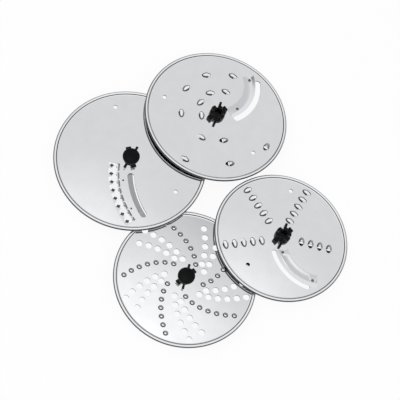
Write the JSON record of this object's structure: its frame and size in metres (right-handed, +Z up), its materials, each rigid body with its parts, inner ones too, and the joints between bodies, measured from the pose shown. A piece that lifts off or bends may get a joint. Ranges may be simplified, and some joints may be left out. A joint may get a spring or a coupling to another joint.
{
  "type": "cutting disc set",
  "caption": "Loose polished steel cutting discs with black drive hubs for a kitchen grater, lying in a fan: toothed discs, a knife disc with a comb and a grating disc.",
  "frame": {"origin": "on the table, under the middle of the pile's plan box", "axes": "+Z up from the table, +X to the right and +Y away from the viewer before the picture's roll"},
  "size_m": [0.2702, 0.2758, 0.0187],
  "materials": {
    "polished_steel": "mirror polished",
    "blade_steel": "ground and polished",
    "rivet_steel": "satin",
    "black_plastic": "glossy moulded"
  },
  "bodies": {
    "grate_disc": {"grate_disc_plate": "polished_steel", "grate_disc_hub": "black_plastic", "grate_disc_cap": "black_plastic"},
    "julienne_disc": {"julienne_disc_plate": "polished_steel", "julienne_disc_blade": "blade_steel", "julienne_disc_comb": "blade_steel", "julienne_disc_blade_rivets": "rivet_steel", "julienne_disc_hub": "black_plastic", "julienne_disc_cap": "black_plastic"},
    "shred_disc": {"shred_disc_plate": "polished_steel", "shred_disc_blade": "blade_steel", "shred_disc_blade_rivets": "rivet_steel", "shred_disc_hub": "black_plastic", "shred_disc_cap": "black_plastic"},
    "coarse_disc": {"coarse_disc_plate": "polished_steel", "coarse_disc_blade": "blade_steel", "coarse_disc_blade_rivets": "rivet_steel", "coarse_disc_hub": "black_plastic", "coarse_disc_cap": "black_plastic"}
  },
  "joints": [
    {"name": "julienne_lift", "type": "slide", "parent": "grate_disc", "child": "julienne_disc", "axis": [0, 0, 1], "range_m": [0, 0.06]},
    {"name": "shred_lift", "type": "slide", "parent": "grate_disc", "child": "shred_disc", "axis": [0, 0, 1], "range_m": [0, 0.06]},
    {"name": "coarse_lift", "type": "slide", "parent": "julienne_disc", "child": "coarse_disc", "axis": [0, 0, 1], "range_m": [0, 0.06]}
  ]
}
